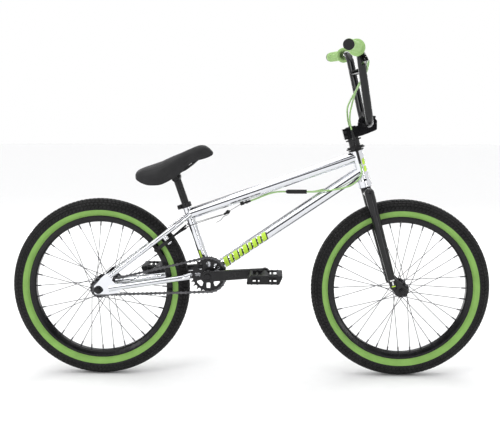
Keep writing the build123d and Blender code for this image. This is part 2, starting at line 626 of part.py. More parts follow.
ring = rod(LEVER_HOLD - out_dir * 7, LEVER_HOLD + out_dir * 7, 16.0)
cheek = [(-12, 8), (9, 8), (9, -12), (8, -26), (-12, -26), (-17, -9)]
body = flat(cheek, -8.5, 8.5) - flat([(-9.5, 9), (12, 9), (12, -9.5), (-9.5, -9.5)], -4.4, 4.4)
boss_in = rod(lever_point(-12, 0), lever_point(-26, 0), 6.2)
holder = ring + body + boss_in - bar_solid
pin = rod(lever_point(0, 0, -9.5), lever_point(0, 0, 9.5), 2.5)
holder = holder + pin
piece("lever_bracket", holder)
blade = [(-6.5, -4), (-3, -7), (8, -6.5), (22, 1), (42, 8), (66, 12), (88, 13.5), (99, 17),
         (103, 22), (99, 26), (86, 22.5), (64, 20.5), (40, 17), (20, 10), (5, 7), (-6.5, 4)]
lever = flat(blade, -4, 4)
lever = lever - rod(lever_point(0, 0, -9), lever_point(0, 0, 9), 2.6)
piece("brake_lever", lever)

# ---------------------------------------------------------------- gyro
EAR_Y = 28.0


def eared_ring(s0, s1, r_out, r_in):
    ring = rod(steer(s0), steer(s1), r_out)
    ears = STEER * Pos(0, 0, (s0 + s1) / 2) * Box(11, 2 * EAR_Y + 9, s1 - s0)
    return ring + ears - rod(steer(s0 - 1), steer(s1 + 1), r_in)


def at_ears(s0, s1, r, bore=0.0):
    return [rod(steer(s0, 0, y), steer(s1, 0, y), r, bore) for y in (-EAR_Y, EAR_Y)]


top_plate = eared_ring(59.0, 62.0, 22.5, 14.3)
for tube in at_ears(57, 84, 4.0) + at_ears(64, 73, 5.0) + at_ears(84, 91, 3.3):
    top_plate = top_plate + tube
for hole in at_ears(56, 92, 1.4):
    top_plate = top_plate - hole
piece("gyro_top_plate", top_plate)

upper_race = eared_ring(37.5, 40.5, 24.0, 16.4)
for wire in at_ears(39, 74, 0.8):
    upper_race = upper_race + wire
for knob in at_ears(40, 43, 2.6):
    upper_race = upper_race + knob
piece("gyro_upper_race", upper_race)
lower_race = eared_ring(34.2, 37.2, 27.0, 16.4)
for wire in at_ears(14, 35, 0.8):
    lower_race = lower_race + wire
piece("gyro_lower_race", lower_race)

bottom_plate = eared_ring(28.0, 31.0, 22.0, 16.5)
for tube in at_ears(8, 31, 3.8) + at_ears(-9, 8, 3.3):
    bottom_plate = bottom_plate + tube
for hole in at_ears(-1, 32, 1.4) + at_ears(-10, -1, CABLE_R):
    bottom_plate = bottom_plate - hole
bottom_plate = bottom_plate - rod(steer(HT_LOW), steer(HT_TOP), HEAD_TUBE_R + 0.1)
piece("gyro_bottom_plate", bottom_plate)

# ---------------------------------------------------------------- brake cables


def cable(name, points, r=CABLE_R):
    radii = easy_radii(points)
    line = bend_line(points, radii)
    body = pipe(points, radii, r)
    print(name, "arcs", [round(a) for a in radii], "length", round(line.length),
          "volume ratio", round(body.volume / (line.length * pi * r * r), 4))
    return body


upper_right = cable("upper cable right", [
    lever_point(-26.8, 0, -3.0), lever_point(-54, 7.5, -2.6), (761, -131, 886), (743, -101, 857),
    (731, -72, 818), (724, -38, 774), steer(116, 0, -EAR_Y), steer(91.2, 0, -EAR_Y)])
upper_left = cable("upper cable left", [
    lever_point(-26.8, 0, 3.0), lever_point(-54, 5, 4.5), (763, -119, 888), (750, -88, 860),
    (730, -50, 822), (717, -8, 788), steer(118, 0, EAR_Y), steer(91.2, 0, EAR_Y)])
piece("upper_cables", group(upper_right, upper_left))

joiner_front, joiner_back = Vector(604.6, 0, 544.8), Vector(543.8, 0, 544.8)
low = []
for side in (-1, 1):
    low.append(cable("lower cable", [
        steer(-2, 0, side * EAR_Y), steer(-36, 0, side * EAR_Y), (751, side * 28, 580),
        (728, side * 28, 564), (696, side * 27, 555), (652, side * 22, 549.5),
        joiner_front + Vector(22, side * 3.1, 0), joiner_front + Vector(0.02, side * 3.1, 0)]))
def under_top(x, gap=4.7):
    """Point a little below the top tube, in line with it."""
    z = top_low.Z + (x - top_low.X) * top_dir.Z / top_dir.X
    return Vector(x, 0, z) - Vector(-top_dir.Z, 0, top_dir.X) * (TOP_TUBE_R + gap)


stop_back, stop_front = under_top(404), under_top(414)
rear = cable("rear cable", [joiner_back - Vector(0.02, 0, 0), joiner_back - Vector(18, 0, 0),
                            joiner_back - Vector(40, 0, 3.2), (480, 0, 533.4), under_top(452),
                            under_top(427)])
joiner = rod(joiner_back + Vector(5, 0, 0), joiner_front, 6.2) \
    + rod(joiner_back, joiner_back + Vector(5, 0, 0), 3.4, r2=6.2)
piece("cable_joiner", joiner)
piece("brake_housings", group(*low, rear))
stop = rod(stop_back, stop_front, 4.5) + (Pos((stop_back + stop_front) / 2)
                                          * Rot(0, -degrees(asin(top_dir.Z)), 0)
                                          * Pos(0, 0, 4) * Box(10, 5, 8))
stop = stop - rod(top_start, top_join, TOP_TUBE_R) - rod(stop_back, stop_front, 2.7)
adjuster = rod(stop_front, under_top(420), 3.2) + rod(under_top(420), under_top(425), 4.4) \
    + rod(under_top(425), under_top(434), 3.4)
adjuster = adjuster - rod(stop_front, under_top(426.6), 2.0) - rear
piece("cable_stop", group(stop, adjuster))

# ---------------------------------------------------------------- rear brake
ARM_N0, ARM_SPLIT, ARM_N1 = 17.1, 22.1, 27.2


def arm_plate(points, n0, n1):
    face = Face(Wire.make_polygon([Vector(k, y, -n0) for k, y in points], close=True))
    return BRAKE * extrude(face, amount=-(n1 - n0), dir=(0, 0, 1))


def brake_arm(side):
    """Arm on its boss: the pad end below, the cable end crossing to the other side."""
    y = side * BOSS_Y
    lower = [(-50, -39), (-46, -33.5), (-38, -32), (-12, -31.5), (0, -31), (9, -34), (9, -46),
             (0, -49), (-14, -45), (-40, -43)]
    upper = [(0, -49), (0, -31), (15, -32), (35, -14.7), (54, 16.5), (58, 20), (63, 18),
             (63.5, 11.5), (45, -21.3), (29, -41.5), (20, -46)]
    lower, upper = [[(k, -side * a) for k, a in half] for half in (lower, upper)]
    n0, n1 = (ARM_N0, ARM_SPLIT - 0.2) if side < 0 else (ARM_SPLIT + 0.2, ARM_N1)
    arm = arm_plate(lower, ARM_N0, ARM_N1) + arm_plate(upper, n0, n1)
    arm = arm - rod(brake(0, 10, y), brake(0, 30, y), 4.1)
    pad_k, pad_n = -44.0, 22.5
    arm = arm - rod(brake(pad_k, pad_n, y + 12), brake(pad_k, pad_n, y - 12), 3.0)
    return arm


def brake_pad(side):
    pad_k, pad_n = -44.0, 22.5
    centre = brake(pad_k, pad_n)
    y = side * BOSS_Y
    radial = Vector(centre.X, 0, centre.Z - TYRE_R).normalized()
    frame = Plane(origin=Vector(centre.X, side * 22.5, centre.Z),
                  x_dir=Vector(-radial.Z, 0, radial.X), z_dir=radial)
    shoe = frame * Box(52, 9, 9.5)
    stud = rod(brake(pad_k, pad_n, side * 26.8), brake(pad_k, pad_n, side * 48), 2.95)
    nut = hexagon(brake(pad_k, pad_n, side * 43.6), (0, side, 0), 9, 4.5)
    return shoe + stud + nut


for side, name in ((-1, "right"), (1, "left")):
    piece("brake_arm_" + name, brake_arm(side))
    piece("brake_pad_" + name, brake_pad(side))

# hanger that gathers the straddle wire, with the inner wire up to the stop
hang = Vector(374.0, 0, 484.0)
wire_dir = (stop_back - hang).normalized()
side_dir = Vector(-wire_dir.Z, 0, wire_dir.X)
HANG = Plane(origin=hang, x_dir=wire_dir, z_dir=side_dir)
yoke_points = [(-13, -4), (-4, -9), (3, -4), (7, -3), (7, 3), (3, 4), (-4, 9), (-13, 4)]
yoke = Face(Wire.make_polygon([Vector(a, b, -3) for a, b in yoke_points], close=True))
hanger = HANG * extrude(yoke, amount=6, dir=(0, 0, 1))
hanger = hanger + (HANG * Cylinder(4.2, 11))
hanger = hanger + rod(hang + wire_dir * 5, stop_back + wire_dir * 1.0, 0.7)
straddle = []
for side in (-1, 1):
    pts = [brake(67.8, 19.5 if side > 0 else 24.5, side * 16), (284, side * 17.5, 452.5),
           hang + Vector(-22, side * 8.5, -9.5), hang - wire_dir * 14 + Vector(0, side * 2.5, 0)]
    wire = cable("straddle wire", pts, 0.8)
    straddle.append(wire + Pos(pts[0]) * Sphere(2.4))
tail = cable("wire tail", [hang + side_dir * -7 - wire_dir * 3, hang + Vector(-14, 0, -14),
                           hang + Vector(-20, 0, -24), hang + Vector(-34, 0, -31)], 0.8)
piece("cable_hanger", group(hanger, *straddle, tail))

# ---------------------------------------------------------------- seat
POST_TOP, KNUCKLE = 283.0, 296.0
post = rod(seat(140), seat(POST_TOP), POST_R, POST_R - 1.8)
knuckle = cross(seat(KNUCKLE).X, seat(KNUCKLE).Z, -16, 16, 13.0) \
    + rod(seat(POST_TOP), seat(KNUCKLE), POST_R)
knuckle = knuckle + cross(seat(KNUCKLE).X, seat(KNUCKLE).Z, -34, 34, 4.0)
for side in (-1, 1):
    knuckle = knuckle + hexagon(seat(KNUCKLE) + Vector(0, side * 28.6, 0), (0, side, 0), 13, 5)
piece("seat_post", group(post, knuckle))

TILT = radians(21)
along, above = Vector(cos(TILT), 0, sin(TILT)), Vector(-sin(TILT), 0, cos(TILT))
hold = seat(KNUCKLE)
RAIL_Y = 22.0
cradles = []
for side in (-1, 1):
    y0, y1 = sorted((side * 16.4, side * 28.2))
    disc = rod(Vector(hold.X, y0, hold.Z), Vector(hold.X, y1, hold.Z), 11.5)
    arm = rod(hold + above * 13 - along * 19 + Vector(0, side * RAIL_Y, 0),
              hold + above * 13 + along * 19 + Vector(0, side * RAIL_Y, 0), 5.9)
    top = disc + arm - cross(hold.X, hold.Z, y0 - 1, y1 + 1, 4.1)
    top = top - rod(hold + above * 13 - along * 25 + Vector(0, side * RAIL_Y, 0),
                    hold + above * 13 + along * 25 + Vector(0, side * RAIL_Y, 0), 3.5)
    cradles.append(top)
piece("rail_cradles", group(*cradles))


def rail(side):
    def at(a, h, y):
        return hold + along * a + above * h + Vector(0, side * y, 0)
    pts = [at(92, 33, 8), at(62, 21, 19), at(34, 13, RAIL_Y), at(-34, 13, RAIL_Y),
           at(-62, 15, 27), at(-88, 24, 32)]
    return pipe(pts, [30, 60, 60, 40], 3.5)


SADDLE = [  # x, ridge z, lower edge z, half width
    (109, 598, 589, 40), (116, 607.5, 581, 56), (130, 614.5, 573.5, 68), (150, 621.5, 567.5, 74),
    (180, 632.0, 568.5, 73), (198, 640.5, 574.5, 64), (213, 647, 582, 52), (228, 653, 591, 41),
    (240, 658, 601, 33), (252, 663.5, 613.5, 28.5), (266, 669.5, 626.5, 25), (281, 676, 634, 23),
    (295, 679.8, 638, 21.5), (308, 679, 641.5, 19.5), (318, 673.5, 645, 16.5), (327, 665, 649.5, 11.5),
    (331.5, 659, 653.5, 5)]
SHAPE = [(0, 0), (0.32, 0.02), (0.6, 0.07), (0.83, 0.19), (0.96, 0.4), (1.0, 0.66), (0.95, 1.0),
         (0.83, 0.985), (0.84, 0.62), (0.62, 0.38), (0, 0.32)]
rings = []
for x, top_z, low_z, w in SADDLE:
    h = top_z - low_z
    half = [(w * a, top_z - h * b) for a, b in SHAPE]
    loop = half + [(-y, z) for y, z in reversed(half[1:-1])]
    rings.append(Face(Wire.make_polygon([Vector(x, y, z) for y, z in loop], close=True)))
saddle = loft(rings, ruled=True)
saddle = sorted(saddle.solids(), key=lambda s: -s.volume)[0]
rails = [rail(-1), rail(1)]
piece("saddle_rails", group(*rails))
piece("saddle", saddle - rails)

# ---------------------------------------------------------------- export
for name, shape in PIECES.items():
    solids = [Pos(-WHEELBASE / 2, 0, 0) * solid for solid in shape.solids()]
    if not all(solid.is_valid for solid in solids):
        print("not valid:", name)
    export_step(Compound(children=solids) if len(solids) > 1 else solids[0],
                "parts/" + name + ".step")
print(len(PIECES), "pieces")
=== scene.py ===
# %% [markdown]
# # A freestyle bike with a cable detangler
# The measured frame, wheels and moving parts come from the engineering model.
# This lesson gives them their real surfaces, and builds the pieces whose
# look depends on fine relief: the knobbly tyres, ribbed grips, padded saddle and
# the printed marks.

# %% Load the engineering model
from math import asin, cos, pi, radians, sin

import bmesh
import bpy
from mathutils import Matrix, Vector


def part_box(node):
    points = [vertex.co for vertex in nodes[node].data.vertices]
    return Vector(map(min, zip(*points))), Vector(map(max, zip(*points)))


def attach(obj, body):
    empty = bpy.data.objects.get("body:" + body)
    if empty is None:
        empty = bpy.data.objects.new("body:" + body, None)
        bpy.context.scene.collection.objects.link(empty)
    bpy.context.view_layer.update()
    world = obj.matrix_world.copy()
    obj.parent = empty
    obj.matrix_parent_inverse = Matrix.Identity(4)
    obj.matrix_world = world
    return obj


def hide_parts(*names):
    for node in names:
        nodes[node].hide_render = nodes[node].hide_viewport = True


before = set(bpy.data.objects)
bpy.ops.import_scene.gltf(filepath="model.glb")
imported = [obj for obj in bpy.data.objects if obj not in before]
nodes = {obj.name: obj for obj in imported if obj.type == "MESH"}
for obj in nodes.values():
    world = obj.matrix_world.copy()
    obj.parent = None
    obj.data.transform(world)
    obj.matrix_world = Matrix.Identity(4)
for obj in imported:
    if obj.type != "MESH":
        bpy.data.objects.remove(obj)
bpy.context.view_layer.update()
MIDDLE = 0.44025        # from the rear axle forward to the middle of the wheelbase
print("pieces of the engineering model:", len(nodes))


def centre(node):
    low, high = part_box(node)
    return (low + high) / 2


# %% [markdown]
# ## Where the viewer stands
# A long lens from the chain side, a little above the hubs, keeps both wheels
# almost round and lets the far grip show beside the near one.

# %% Camera
CAMERA_PLACE = Vector((0.06575, -2.7694, 0.8178))
YAW, PITCH, ROLL = radians(-1.384), radians(-6.983), radians(0.084)

camera = bpy.data.objects.new("camera", bpy.data.cameras.new("camera"))
camera.data.lens = 68.57
camera.data.sensor_width = 36.0
ahead = Vector((sin(YAW) * cos(PITCH), cos(YAW) * cos(PITCH), sin(PITCH)))
side = ahead.cross(Vector((0, 0, 1))).normalized()
above = side.cross(ahead)
turn = Matrix((side, above, -ahead)).transposed().to_4x4()
camera.matrix_world = Matrix.Translation(CAMERA_PLACE) @ turn @ Matrix.Rotation(ROLL, 4, "Z")
bpy.context.scene.collection.objects.link(camera)
bpy.context.scene.camera = camera
print("camera", tuple(round(c, 3) for c in CAMERA_PLACE), "lens", camera.data.lens)

# %% [markdown]
# ## Node helper
# Every finish below is a small tree of nodes. One helper adds a node, sets its
# sockets and links its inputs, so each finish reads as a short recipe.

# %% Helpers for materials


def start_material(name):
    mat = bpy.data.materials.new(name)
    mat.use_nodes = True
    tree = mat.node_tree
    shader = tree.nodes["Principled BSDF"]
    return mat, tree, shader


def node(tree, kind, links=None, props=None, **values):
    made = tree.nodes.new(kind)
    for key, value in (props or {}).items():
        setattr(made, key, value)
    for key, value in values.items():
        made.inputs[key.replace("_", " ")].default_value = value
    for key, source in (links or {}).items():
        tree.links.new(source, made.inputs[key])
    return made


def ramp(tree, source, stops):
    made = node(tree, "ShaderNodeValToRGB", {"Fac": source})
    bar = made.color_ramp
    while len(bar.elements) < len(stops):
        bar.elements.new(0.5)
    for element, (place, tint) in zip(bar.elements, stops):
        element.position = place
        element.color = (*tint, 1.0)
    return made.outputs["Color"]


def spot(tree):
    return node(tree, "ShaderNodeTexCoord").outputs["Object"]


def noise(tree, scale, detail=4.0, stretch=None):
    place = spot(tree)
    if stretch:
        place = node(tree, "ShaderNodeMapping", {"Vector": place}, Scale=stretch).outputs[0]
    return node(tree, "ShaderNodeTexNoise", {"Vector": place}, Scale=scale,
                Detail=detail).outputs["Fac"]


def between(tree, source, low, high):
    """A value that wanders between low and high as the source goes from 0.3 to 0.7."""
    return node(tree, "ShaderNodeMapRange", {"Value": source},
                **{"From_Min": 0.3, "From_Max": 0.7, "To_Min": low, "To_Max": high}).outputs[0]


def relief(tree, shader, height, depth, strength=0.5):
    bump = node(tree, "ShaderNodeBump", {"Height": height}, Strength=strength, Distance=depth)
    tree.links.new(bump.outputs["Normal"], shader.inputs["Normal"])


def finish(name, tint, metallic, rough, grain=(220.0, 0.00006), mottle=0.12, coat=0.0,
           stretch=None, spread=0.06, shine=0.5):
    """A plain finish with life in it: mottled colour, wandering gloss and a fine grain."""
    mat, tree, shader = start_material(name)
    wander = noise(tree, 26.0, stretch=stretch)
    dark = tuple(c * (1 - mottle) for c in tint)
    light = tuple(min(1.0, c * (1 + mottle) + 0.002) for c in tint)
    tree.links.new(ramp(tree, wander, [(0.3, dark), (0.7, light)]), shader.inputs["Base Color"])
    tree.links.new(between(tree, noise(tree, 60.0, stretch=stretch), max(0.02, rough - spread),
                           rough + spread), shader.inputs["Roughness"])
    shader.inputs["Metallic"].default_value = metallic
    shader.inputs["Coat Weight"].default_value = coat
    shader.inputs["Coat Roughness"].default_value = 0.06
    shader.inputs["Specular IOR Level"].default_value = shine
    relief(tree, shader, noise(tree, grain[0], 6.0, stretch), grain[1])
    return mat


# %% [markdown]
# ## Chrome
# The frame tubes are chrome over polished steel. Chrome has almost no colour of
# its own: it needs very low roughness, and a faint unevenness left by polishing,
# which makes the reflected lines run slightly wavy along the tubes.

# %% Metals
chrome = finish("frame_chrome", (0.70, 0.71, 0.74), 1.0, 0.04, (9.0, 0.0004), 0.02, spread=0.02)
spoke_steel = finish("spoke_steel", (0.13, 0.13, 0.14), 1.0, 0.3)
chain_metal = finish("oiled_chain", (0.10, 0.10, 0.105), 1.0, 0.32, (400.0, 0.0001), 0.3)
print("metals made")

# %% [markdown]
# ## Blacks
# Most small parts are black, yet no two are the same black: wet-looking paint on
# fork, stem and bar, satin coating on cranks and hubs, dull moulded plastic on the
# pedals, soft rubber on the tread. The difference is in gloss and grain, not hue.

# %% Paints and plastics
black_paint = finish("gloss_black_paint", (0.004, 0.004, 0.005), 0.0, 0.12, (14.0, 0.0002), 0.15,
                     coat=0.25, spread=0.03, shine=0.25)
black_satin = finish("satin_black_coat", (0.008, 0.008, 0.009), 0.0, 0.30, (500.0, 0.00005), 0.2,
                     coat=0.04, shine=0.28)
rim_black = finish("anodised_black", (0.006, 0.006, 0.007), 0.0, 0.22, (300.0, 0.00004), 0.2,
                   coat=0.05, shine=0.25)
moulded = finish("moulded_plastic", (0.009, 0.009, 0.010), 0.0, 0.45, (900.0, 0.00012), 0.25,
                 shine=0.28)
tread_rubber = finish("tread_rubber", (0.010, 0.010, 0.010), 0.0, 0.55, (700.0, 0.00015), 0.3,
                      shine=0.22)
pad_rubber = finish("brake_rubber", (0.02, 0.02, 0.02), 0.0, 0.8, (600.0, 0.0002), 0.3, shine=0.3)
print("blacks made")

# %% [markdown]
# ## The green pieces
# Grips, cable housings and the tyres' side bands are one family of leaf green: the
# grips are the palest, the side bands the deepest, and the housing is glossy.

# %% Greens
GRIP_GREEN, WALL_GREEN, HOUSING_GREEN = (0.33, 0.53, 0.19), (0.21, 0.39, 0.09), (0.31, 0.51, 0.19)
green_rubber = finish("green_grip_rubber", GRIP_GREEN, 0.0, 0.5, (900.0, 0.00008), 0.08)
green_wall = finish("green_sidewall", WALL_GREEN, 0.0, 0.62, (500.0, 0.00012), 0.1, shine=0.3)
green_housing = finish("green_cable_housing", HOUSING_GREEN, 0.0, 0.28, (200.0, 0.00003), 0.05,
                       coat=0.5)
print("greens made")

# %% [markdown]
# ## Which finish goes where
# The engineering pieces keep their own meshes. Only the material in their slots
# changes.

# %% Dress the engineering pieces
DRESS = {
    chrome: "head_tube top_tube down_tube seat_tube bb_shell chainstays seatstays rear_dropouts "
            "brake_bosses headset_bearings",
    black_paint: "steerer fork_legs fork_dropouts stem stem_cap handlebar crossbar",
    black_satin: "seat_clamp stem_bolts headset_spacers lever_bracket brake_lever bb_bearings "
                 "crank_spindle crank_arms sprocket pedal_spindles rear_axle front_axle front_hub "
                 "rear_hub brake_arm_right brake_arm_left seat_post rail_cradles saddle_rails "
                 "gyro_top_plate gyro_bottom_plate cable_hanger cable_stop "
                 "gyro_upper_race gyro_lower_race",
    rim_black: "front_rim rear_rim",
    spoke_steel: "front_spokes rear_spokes",
    chain_metal: "chain driver_cog",
    green_rubber: "grips",
    green_housing: "brake_housings upper_cables",
    moulded: "cable_joiner pedal_right pedal_left bar_end_plugs saddle",
    pad_rubber: "brake_pad_right brake_pad_left",
    tread_rubber: "front_tyre rear_tyre",
}


def dress(obj, mat):
    if not obj.material_slots:
        obj.data.materials.append(mat)
    for place in obj.material_slots:
        place.material = mat


for mat, names in DRESS.items():
    for name in names.split():
        dress(nodes[name], mat)
print("dressed", sum(len(n.split()) for n in DRESS.values()), "of", len(nodes))

# %% [markdown]
# ## Mesh helper
# The pieces built one by one are lists of points and faces. This helper turns them into
# an object, smooths it, names its finish and lets it ride on the right body.

# %% Helper for meshes


def build(name, points, faces, mats, body, marks=None, smooth=True):
    mesh = bpy.data.meshes.new(name)
    mesh.from_pydata([tuple(p) for p in points], [], faces)
    for mat in mats:
        mesh.materials.append(mat)
    for i, face in enumerate(mesh.polygons):
        face.use_smooth = smooth
        face.material_index = marks[i] if marks else 0
    tidy = bmesh.new()
    tidy.from_mesh(mesh)
    bmesh.ops.recalc_face_normals(tidy, faces=tidy.faces)
    tidy.to_mesh(mesh)
    tidy.free()
    mesh.update()
    obj = bpy.data.objects.new(name, mesh)
    bpy.context.scene.collection.objects.link(obj)
    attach(obj, body)
    return obj


def ring_faces(rows, columns, close_rows=True, close_columns=True):
    """Quads between rows of points, each row holding the same number of columns."""
    faces = []
    for i in range(rows if close_rows else rows - 1):
        for j in range(columns if close_columns else columns - 1):
            a, b = i * columns + j, i * columns + (j + 1) % columns
            c, d = ((i + 1) % rows) * columns + (j + 1) % columns, ((i + 1) % rows) * columns + j
            faces.append((a, b, c, d))
    return faces


# %% [markdown]
# ## Tyres
# A street tyre is a fat ring with rows of low blocks on the crown, running down
# over the shoulders, and here a smooth green band on each side wall. Relief this
# regular is easiest as a grid wrapped round the wheel: each point is pushed in
# where a groove passes. The green band is a second material on whole faces.

# %% Tyre section and tread
WHEEL_R = (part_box("rear_tyre")[1].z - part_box("rear_tyre")[0].z) / 2
SECTION_R = (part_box("rear_tyre")[1].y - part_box("rear_tyre")[0].y) / 2
RING_R = WHEEL_R - SECTION_R
BEAD_R = 0.2109
BLOCKS_ROUND, STEPS_ROUND, STEPS_ACROSS = 132, 792, 68
GROOVE = 0.0026
BAND_TOP = 0.2300
NARROW_HALF, NARROW_R = 0.0142, 0.2115   # the wall is slim at the rim, clear of the brake pads
ROWS = [(-0.0005, 0.0062), (0.0076, 0.0150), (0.0166, 0.0245), (0.0262, 0.0345), (0.0364, 0.0445)]
print("tyre radius", round(WHEEL_R, 4), "section", round(SECTION_R, 4))


def on_block(along, across):
    """1 on top of a tread block, 0 in a groove; along counts blocks, across is in metres."""
    reach = abs(across)
    for i, (inner, outer) in enumerate(ROWS):
        if inner <= reach <= outer:
            slant = (reach - inner) * 26.0 * (1 if i % 2 else -1)
            part = (along + slant + (0.5 if i % 2 else 0.0)) % 1.0
            wide = 0.80 if i < 3 else 0.66
            return 1.0 if part < wide else 0.0
    return 0.0 if reach < 0.0445 else 1.0


def tyre(name, node_name, body):
    hub = centre(node_name)
    low_angle = asin((BEAD_R - RING_R) / SECTION_R)
    points, marks = [], []
    span = pi - 2 * low_angle
    section = []
    for j in range(STEPS_ACROSS + 1):
        angle = low_angle + span * j / STEPS_ACROSS
        section.append((angle, (angle - pi / 2) * SECTION_R))
    bead = [(-0.0126, 0.2052), (0.0126, 0.2052)]
    for i in range(STEPS_ROUND):
        round_angle = 2 * pi * i / STEPS_ROUND
        along = BLOCKS_ROUND * i / STEPS_ROUND
        for angle, across in section:
            out = SECTION_R - GROOVE * (1 - on_block(along, across))
            if abs(across) > 0.0445:
                out -= GROOVE * min(1.0, (abs(across) - 0.0445) / 0.004)
                out += 0.0006 * (abs(across) > 0.066)
            y, r = out * cos(angle), RING_R + out * sin(angle)
            room = NARROW_HALF + max(0.0, r - NARROW_R) * 1.6
            y = max(-room, min(room, y))
            points.append((hub.x + r * cos(round_angle), hub.y + y, hub.z + r * sin(round_angle)))
        for y, r in bead:
            points.append((hub.x + r * cos(round_angle), hub.y + y, hub.z + r * sin(round_angle)))
    columns = len(section) + len(bead)
    faces = ring_faces(STEPS_ROUND, columns)
    for i in range(STEPS_ROUND):
        for j in range(columns):
            if j < STEPS_ACROSS:
                angle = section[j][0] + span / STEPS_ACROSS / 2
                r = RING_R + SECTION_R * sin(angle)
                marks.append(1 if r < BAND_TOP else 0)
            else:
                marks.append(0)
    made = build(name, points, faces, [tread_rubber, green_wall], body, marks,
                 smooth=False)
    for face in made.data.polygons:
        face.use_smooth = face.material_index == 1
    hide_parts(node_name)
    return made


for where in ("front", "rear"):
    made = tyre(where + "_knobbly_tyre", where + "_tyre", where + "_wheel")
    print(made.name, len(made.data.polygons), "faces")

# %% [markdown]
# ## Grips
# A moulded grip is a sleeve with a round flange at the inner end, rings of soft
# fins along the palm and a plain collar at the outer end. It is a profile turned
# about the bar, so the profile is written once and used on both sides.

# %% Turned pieces


def turned(points_along, origin, direction, steps=72):
    """Points of a profile of (distance, radius) turned about a line."""
    direction = direction.normalized()
    across = direction.orthogonal().normalized()
    third = direction.cross(across)
    made = []
    for distance, radius in points_along:
        for k in range(steps):
            a = 2 * pi * k / steps
            made.append(origin + direction * distance
                        + (across * cos(a) + third * sin(a)) * radius)
    return made


GRIP_BORE = 0.01115
BAR_SWEEP = 0.22111
BAR_END = Vector((0.692 - MIDDLE, 0.377, 0.948))
profile = [(0.1490, GRIP_BORE), (0.1490, 0.0222), (0.1482, 0.0229), (0.1458, 0.0230),
           (0.1446, 0.0222), (0.1440, 0.0165), (0.1425, 0.0152), (0.1385, 0.0150)]
FINS, FIN_PITCH = 25, 0.0049
for i in range(FINS):
    place = 0.1375 - i * FIN_PITCH
    profile += [(place, 0.0138), (place - 0.0012, 0.0138), (place - 0.0018, 0.0151),
                (place - 0.0030, 0.0154), (place - 0.0042, 0.0151)]
last = 0.1375 - FINS * FIN_PITCH
profile += [(last, 0.0138), (last - 0.0015, 0.0150), (0.0052, 0.0153), (0.0042, 0.0146),
            (0.0040, GRIP_BORE)]
for hand, sign in (("right", -1), ("left", 1)):
    end = Vector((BAR_END.x, sign * BAR_END.y, BAR_END.z))
    inward = Vector((BAR_SWEEP, -sign, 0)).normalized()
    points = turned(profile, end, inward)
    grip = build("ribbed_grip_" + hand, points, ring_faces(len(profile), 72), [green_rubber],
                 "steering")
    if sign < 0:
        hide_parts("grips")
    print(grip.name, len(profile), "rings")

# %% [markdown]
# ## Saddle
# A padded pivotal-era saddle is a thin plastic base wrapped in foam and a stretched
# cover. The body is lofted through cross-sections: wide and soft at the back, a
# narrow nose in front. A sewn seam runs round the skirt, with a panel seam across
# the flank, so the loft is fine enough to press those channels into it.

# %% Saddle sections
# distance along, top line, skirt line, half width (metres, in the bike's frame)
SADDLE = [
    (0.1080, 0.5975, 0.5890, 0.034), (0.1110, 0.6040, 0.5845, 0.048), (0.1160, 0.6085, 0.5805, 0.057),
    (0.1300, 0.6148, 0.5735, 0.068), (0.1500, 0.6216, 0.5680, 0.0735), (0.1800, 0.6320, 0.5685, 0.0725),
    (0.1980, 0.6402, 0.5745, 0.0635), (0.2130, 0.6470, 0.5820, 0.0520), (0.2280, 0.6530, 0.5910, 0.0412),
    (0.2400, 0.6580, 0.6010, 0.0332), (0.2520, 0.6635, 0.6135, 0.0287), (0.2660, 0.6695, 0.6265, 0.0252),
    (0.2810, 0.6760, 0.6340, 0.0232), (0.2950, 0.6798, 0.6380, 0.0217), (0.3080, 0.6790, 0.6415, 0.0197),
    (0.3180, 0.6735, 0.6450, 0.0167), (0.3270, 0.6650, 0.6495, 0.0117), (0.3312, 0.6600, 0.6535, 0.0055)]
HALF_SECTION = [(0.0, 0.0), (0.18, 0.006), (0.36, 0.026), (0.54, 0.062), (0.70, 0.120), (0.83, 0.205),
                (0.925, 0.325), (0.98, 0.465), (1.0, 0.62), (0.992, 0.78), (0.968, 0.91), (0.945, 1.0),
                (0.87, 0.995), (0.84, 0.90), (0.80, 0.72), (0.66, 0.55), (0.40, 0.45), (0.0, 0.40)]
LOFT_STEPS, ROUND_STEPS = 110, 132


def smooth_through(table, t):
    """Point on a smooth curve through the rows of a table; t runs from 0 to 1."""
    place = t * (len(table) - 1)
    i = min(int(place), len(table) - 2)
    f = place - i
    a, b, c, d = (table[max(0, min(len(table) - 1, k))] for k in (i - 1, i, i + 1, i + 2))
    return [0.5 * (2 * q + (r - p) * f + (2 * p - 5 * q + 4 * r - s) * f * f
                   + (3 * q - p - 3 * r + s) * f ** 3) for p, q, r, s in zip(a, b, c, d)]


def channel(distance, width, depth):
    return -depth * max(0.0, 1 - (distance / width) ** 2) ** 2


def saddle_points():
    full = HALF_SECTION + [(-a, b) for a, b in HALF_SECTION[-2:0:-1]]
    rows = []
    for i in range(LOFT_STEPS + 1):
        x, top, low, wide = smooth_through(SADDLE, i / LOFT_STEPS)
        row = []
        for k in range(ROUND_STEPS):
            place = k / ROUND_STEPS * len(full)
            j = int(place) % len(full)
            f = place - int(place)
            (a0, b0), (a1, b1) = full[j], full[(j + 1) % len(full)]
            a, b = a0 + (a1 - a0) * f, b0 + (b1 - b0) * f
            z = top - (top - low) * b
            press = 0.0
            if b < 0.95 and abs(a) > 0.3 and place <= len(full):
                skirt = (b - 0.70) * (top - low)
                press += channel(skirt, 0.0022, 0.0011)
                flank = (x - 0.1980) + 0.55 * (z - 0.600)
                press += channel(flank, 0.0020, 0.0010) * (1 if abs(a) > 0.55 else 0)
            row.append(Vector((x - MIDDLE, a * wide + (press if a > 0 else -press), z)))
        rows.append(row)
    return rows


